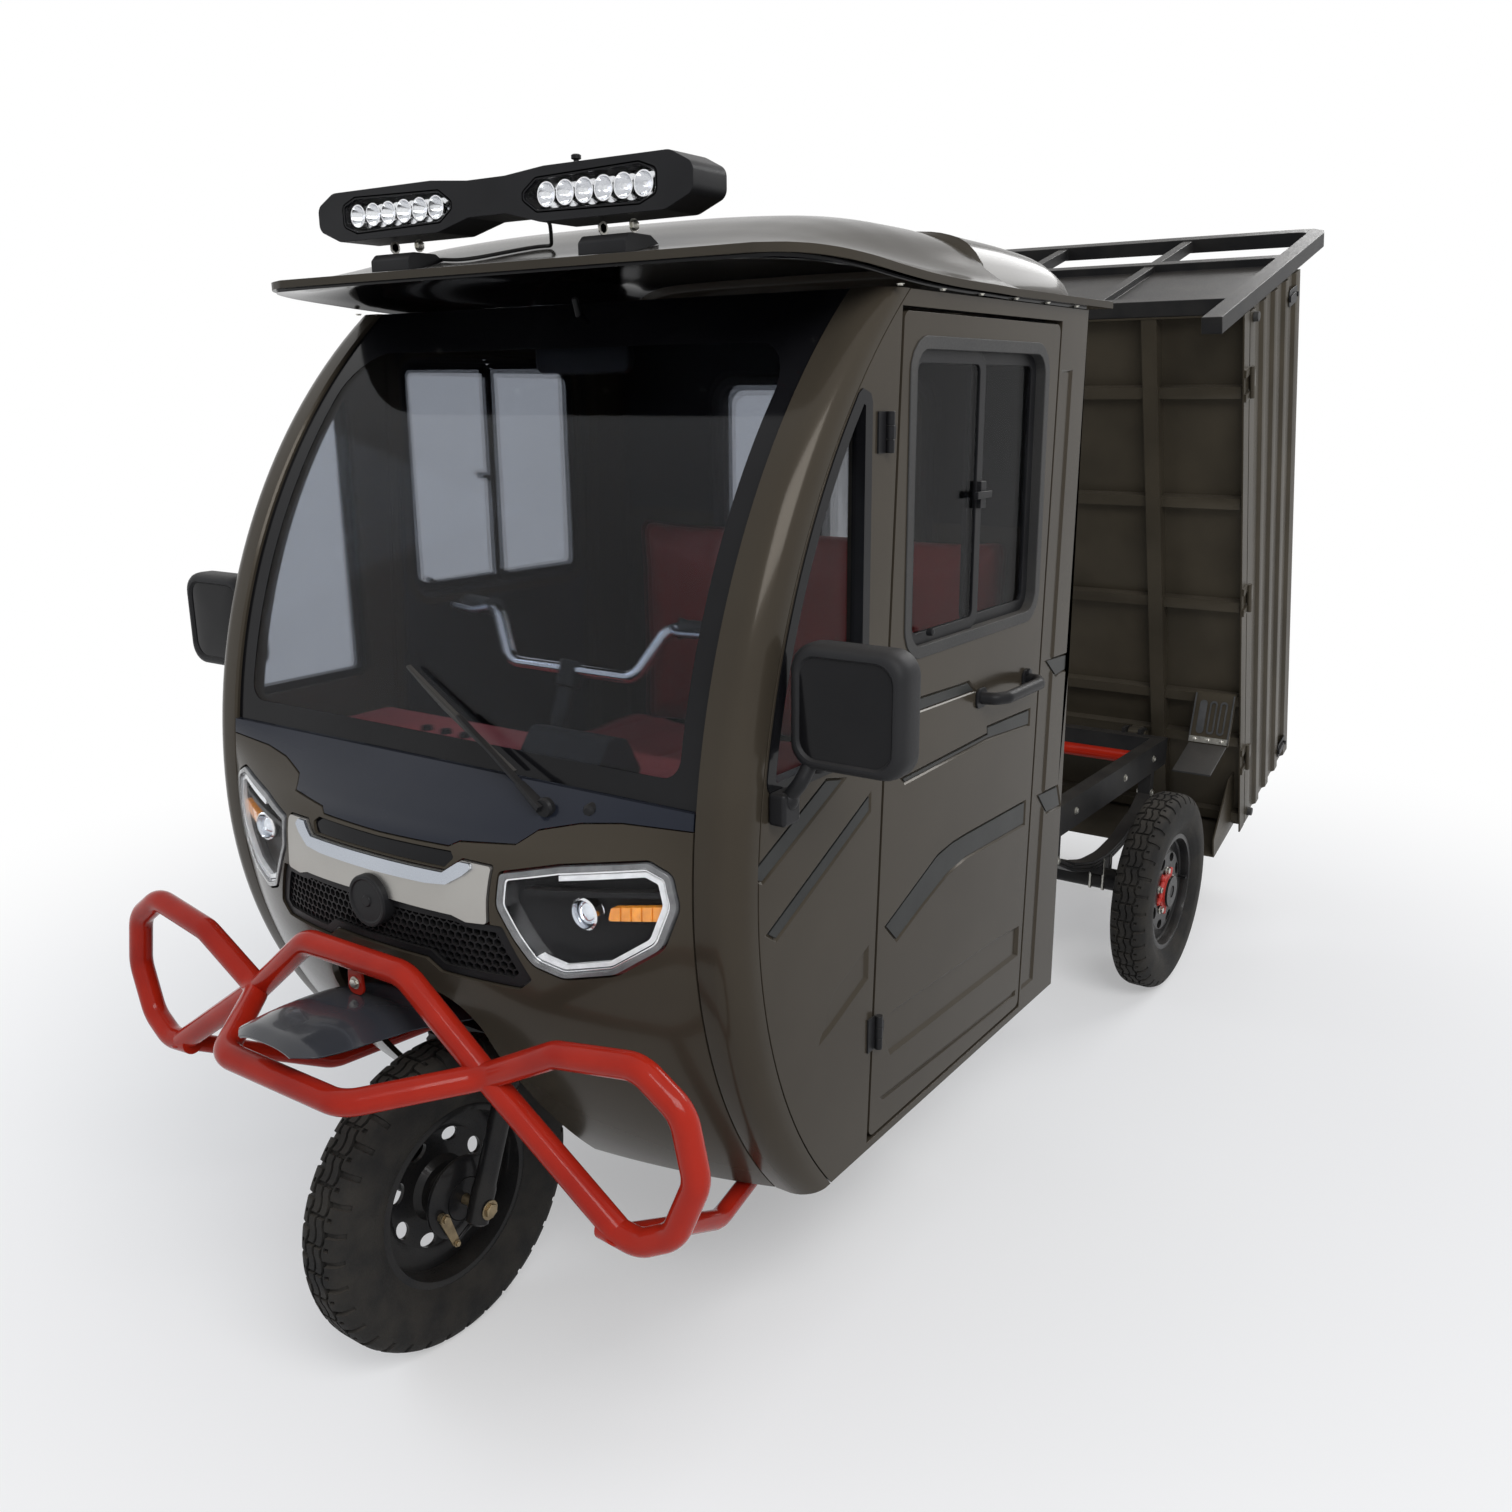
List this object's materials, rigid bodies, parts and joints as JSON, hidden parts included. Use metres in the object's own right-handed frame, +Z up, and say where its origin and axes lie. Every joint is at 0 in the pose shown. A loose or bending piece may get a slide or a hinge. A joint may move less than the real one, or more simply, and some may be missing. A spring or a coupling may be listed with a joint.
{
  "type": "electric cargo tricycle with closed cab and tipping bed",
  "caption": "Three-wheeled electric cargo vehicle with a closed cab, a steered front wheel and a drop-side bed tipped by a telescopic cylinder.",
  "frame": {"origin": "on the ground under the middle of the bounding box, on the vehicle's plane of symmetry", "axes": "-Y towards the front of the vehicle, +X to its left, +Z up"},
  "size_m": [1.564, 3.4641, 2.0222],
  "materials": {
    "cab_paint": "gloss metallic grey-brown",
    "bed_paint": "satin metallic grey-brown",
    "black_steel": "semi-gloss black",
    "red_paint": "gloss red",
    "black_plastic": "matte black",
    "battery_case": "matte black",
    "fender_plastic": "gloss black",
    "lamp_clear": "clear lens over a bright reflector",
    "lamp_red": "red lens",
    "satin_silver": "satin silver",
    "chrome": "polished",
    "glass": "tinted",
    "seat_cover": "soft sheen",
    "dash_cover": "soft sheen red",
    "tyre": "matte",
    "rubber": "matte"
  },
  "bodies": {
    "cab_and_frame": {"chassis_frame": "black_steel", "cross_tube": "red_paint", "battery_box": "battery_case", "rear_axle": "black_steel", "bumper": "red_paint", "front_fender": "fender_plastic", "side_panel_left": "cab_paint", "side_panel_right": "cab_paint", "quarter_glass_left": "glass", "quarter_glass_right": "glass", "rear_wall": "cab_paint", "rear_glass": "glass", "nose_panel": "cab_paint", "headlamp_left": "lamp_clear", "headlamp_right": "lamp_clear", "grille_trim": "satin_silver", "grille": "black_plastic", "windshield": "glass", "roof": "cab_paint", "light_bar": "black_plastic", "floor_pan": "black_steel", "seat_base": "black_steel", "seat_cushion": "seat_cover", "seat_back": "seat_cover", "dashboard": "dash_cover", "mirror_left": "black_plastic", "mirror_right": "black_plastic", "wiper": "black_plastic"},
    "steering": {"fork": "black_steel", "handlebar": "chrome"},
    "front_wheel": {"front_tyre": "tyre", "front_rim": "black_steel"},
    "rear_wheel_left": {"rear_tyre_left": "tyre", "rear_rim_left": "black_steel"},
    "rear_wheel_right": {"rear_tyre_right": "tyre", "rear_rim_right": "black_steel"},
    "left_door": {"door_left": "cab_paint", "door_glass_left": "glass", "door_handle_left": "black_plastic"},
    "right_door": {"door_right": "cab_paint", "door_glass_right": "glass", "door_handle_right": "black_plastic"},
    "bed": {"bed_floor": "bed_paint", "headboard": "black_steel", "mud_flap_left": "rubber", "mud_flap_right": "rubber", "tail_lamp_left": "lamp_red", "tail_lamp_right": "lamp_red"},
    "left_board": {"side_board_left": "bed_paint"},
    "right_board": {"side_board_right": "bed_paint"},
    "tail_board": {"tailgate": "bed_paint"},
    "cylinder_barrel": {"lift_barrel": "black_steel"},
    "cylinder_stage": {"lift_stage": "chrome"},
    "cylinder_rod": {"lift_rod": "chrome"}
  },
  "joints": [
    {"name": "steer", "type": "hinge", "parent": "cab_and_frame", "child": "steering", "pos_m": [0, -1.3882, 0.265], "axis": [0, 0.3746, 0.9272], "range_deg": [-40, 40]},
    {"name": "front_wheel_spin", "type": "hinge", "parent": "steering", "child": "front_wheel", "pos_m": [0, -1.4232, 0.265], "axis": [1, 0, 0], "continuous": true},
    {"name": "rear_wheel_left_spin", "type": "hinge", "parent": "cab_and_frame", "child": "rear_wheel_left", "pos_m": [0.545, 0.6448, 0.265], "axis": [1, 0, 0], "continuous": true},
    {"name": "rear_wheel_right_spin", "type": "hinge", "parent": "cab_and_frame", "child": "rear_wheel_right", "pos_m": [-0.545, 0.6448, 0.265], "axis": [1, 0, 0], "continuous": true},
    {"name": "door_left_hinge", "type": "hinge", "parent": "cab_and_frame", "child": "left_door", "pos_m": [0.593, -0.9852, 1], "axis": [0, 0, -1], "range_deg": [0, 75]},
    {"name": "door_right_hinge", "type": "hinge", "parent": "cab_and_frame", "child": "right_door", "pos_m": [-0.593, -0.9852, 1], "axis": [0, 0, 1], "range_deg": [0, 75]},
    {"name": "bed_tip", "type": "hinge", "parent": "cab_and_frame", "child": "bed", "pos_m": [0, 1.1248, 0.56], "axis": [-1, 0, 0], "range_deg": [-74, 0]},
    {"name": "cylinder_tilt", "type": "hinge", "parent": "cab_and_frame", "child": "cylinder_barrel", "pos_m": [0, -0.0552, 0.42], "axis": [1, 0, 0], "range_deg": [-20.55, 0]},
    {"name": "stage_slide", "type": "slide", "parent": "cylinder_barrel", "child": "cylinder_stage", "axis": [0, 0.8384, 0.5451], "range_m": [-0.2912, 0]},
    {"name": "rod_slide", "type": "slide", "parent": "cylinder_stage", "child": "cylinder_rod", "axis": [0, 0.8384, 0.5451], "range_m": [-0.2912, 0]},
    {"name": "left_board_drop", "type": "hinge", "parent": "bed", "child": "left_board", "pos_m": [0.608, 1.0703, 0.96049], "axis": [0, -0.2756, 0.9613], "range_deg": [-180, 0]},
    {"name": "right_board_drop", "type": "hinge", "parent": "bed", "child": "right_board", "pos_m": [-0.608, 1.0703, 0.96049], "axis": [0, 0.2756, -0.9613], "range_deg": [-180, 0]},
    {"name": "tailgate_drop", "type": "hinge", "parent": "bed", "child": "tail_board", "pos_m": [0, 1.26545, 0.27992], "axis": [1, 0, 0], "range_deg": [-90, 0]}
  ],
  "couplings": [
    {"joint": "cylinder_tilt", "follows": "bed_tip", "ratio": 0.27708},
    {"joint": "stage_slide", "follows": "bed_tip", "m_per_rad": 0.22505},
    {"joint": "rod_slide", "follows": "bed_tip", "m_per_rad": 0.22505}
  ]
}
